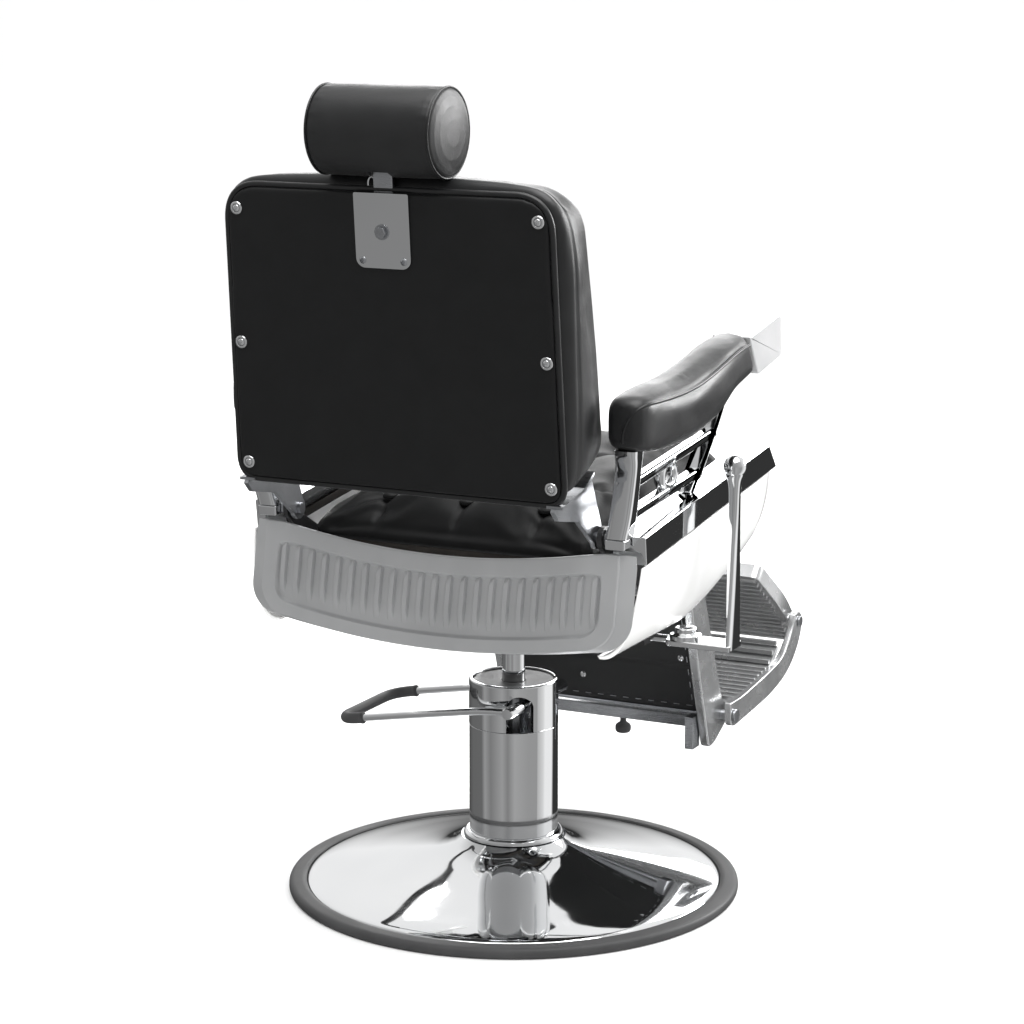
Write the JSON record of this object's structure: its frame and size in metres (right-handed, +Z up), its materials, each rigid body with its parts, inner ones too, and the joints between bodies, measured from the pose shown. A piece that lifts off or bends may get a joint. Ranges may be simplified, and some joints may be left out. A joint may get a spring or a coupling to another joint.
{
  "type": "hydraulic barber chair",
  "caption": "Upholstered reclining barber chair on a pumped pedestal, with swivel seat, padded arms, roll headrest, leg rest and folding foot platform.",
  "frame": {"origin": "centre of the round base on the floor, under the column axis", "axes": "+Z up along the column, -Y the way the sitter faces, +X the sitter's left"},
  "size_m": [0.702, 1.1696, 1.219],
  "materials": {
    "chrome": "mirror polished",
    "steel": "plain steel",
    "rubber": "matt black rubber",
    "vinyl": "black semi-gloss vinyl",
    "silver": "satin silver paint",
    "white": "gloss white enamel",
    "alloy": "polished cast aluminium",
    "black": "satin black paint",
    "board": "plywood"
  },
  "bodies": {
    "base": {"base_plate": "steel", "rubber_rim": "rubber", "base_dome": "chrome", "pump_cylinder": "steel", "oil_reservoir": "steel", "column_cover": "chrome", "trim_ring": "chrome", "collar": "chrome", "collar_dish": "black"},
    "pump": {"pump_lever": "chrome", "lever_grip": "rubber"},
    "ram": {"ram": "chrome"},
    "seat": {"seat_mount": "black", "seat_frame": "black", "seat_board": "board", "seat_cushion": "vinyl", "recline_bolt_left": "steel", "recline_bolt_right": "steel", "seat_rail_left": "chrome", "seat_rail_right": "chrome", "side_panel_left": "white", "side_panel_right": "white", "rear_skirt": "silver", "arm_support_left": "chrome", "arm_support_right": "chrome", "arm_pad_left": "vinyl", "arm_pad_right": "vinyl", "arm_cap_left": "chrome", "arm_cap_right": "chrome", "leg_ear_left": "black", "leg_ear_right": "black", "leg_shaft": "steel", "lock_cylinder": "steel", "lever_bracket": "black"},
    "back": {"back_panel": "vinyl", "back_cushion": "vinyl", "back_arm_left": "steel", "back_arm_right": "steel", "back_screw_1": "chrome", "back_screw_2": "chrome", "back_screw_3": "chrome", "back_screw_4": "chrome", "back_screw_5": "chrome", "back_screw_6": "chrome", "headrest_plate": "chrome", "clamp_bolt": "steel"},
    "headrest_mast": {"headrest_post": "steel"},
    "headrest": {"headrest_roll": "vinyl", "headrest_pin": "steel"},
    "handle": {"recline_lever": "chrome"},
    "lock": {"lock_rod": "chrome"},
    "leg_rest": {"leg_bar_left": "alloy", "leg_bar_right": "alloy", "calf_panel": "vinyl", "calf_bar": "steel", "foot_shaft": "steel"},
    "foot_rest": {"foot_platform": "alloy", "foot_stop": "rubber", "toe_shaft": "steel"},
    "toe": {"toe_plate": "alloy"}
  },
  "joints": [
    {"name": "pump_stroke", "type": "hinge", "parent": "base", "child": "pump", "pos_m": [-0.036, 0, 0.292], "axis": [0, 1, 0], "range_deg": [0, 14], "stiffness_Nm_per_rad": 14, "springref_deg": -8.59},
    {"name": "lift", "type": "slide", "parent": "base", "child": "ram", "axis": [0, 0, 1], "range_m": [-0.05, 0.12]},
    {"name": "swivel", "type": "hinge", "parent": "ram", "child": "seat", "pos_m": [0, 0, 0.44], "axis": [0, 0, 1], "continuous": true},
    {"name": "recline", "type": "hinge", "parent": "seat", "child": "back", "pos_m": [0, 0.225, 0.6], "axis": [-1, 0, 0], "range_deg": [0, 45]},
    {"name": "lock_slide", "type": "slide", "parent": "seat", "child": "lock", "axis": [0, -1, 0], "range_m": [0, 0.05]},
    {"name": "leg_swing", "type": "hinge", "parent": "seat", "child": "leg_rest", "pos_m": [0, -0.25, 0.506], "axis": [-1, 0, 0], "range_deg": [0, 41]},
    {"name": "foot_fold", "type": "hinge", "parent": "leg_rest", "child": "foot_rest", "pos_m": [0, -0.388, 0.19], "axis": [-1, 0, 0], "range_deg": [0, 28]},
    {"name": "toe_flip", "type": "hinge", "parent": "foot_rest", "child": "toe", "pos_m": [0, -0.674, 0.283], "axis": [1, 0, 0], "range_deg": [0, 142]},
    {"name": "headrest_height", "type": "slide", "parent": "back", "child": "headrest_mast", "axis": [0, 0.084, 0.9965], "range_m": [0, 0.09]},
    {"name": "headrest_tilt", "type": "hinge", "parent": "headrest_mast", "child": "headrest", "pos_m": [0, 0.38, 1.158], "axis": [1, 0, 0], "range_deg": [-10, 18]},
    {"name": "recline_handle", "type": "hinge", "parent": "seat", "child": "handle", "pos_m": [-0.2, -0.015, 0.404], "axis": [-1, 0, 0], "range_deg": [0, 14], "stiffness_Nm_per_rad": 8, "springref_deg": -5.73}
  ],
  "couplings": [
    {"joint": "leg_swing", "follows": "recline", "ratio": 0.9},
    {"joint": "lock_slide", "follows": "recline", "m_per_rad": 0.06}
  ]
}
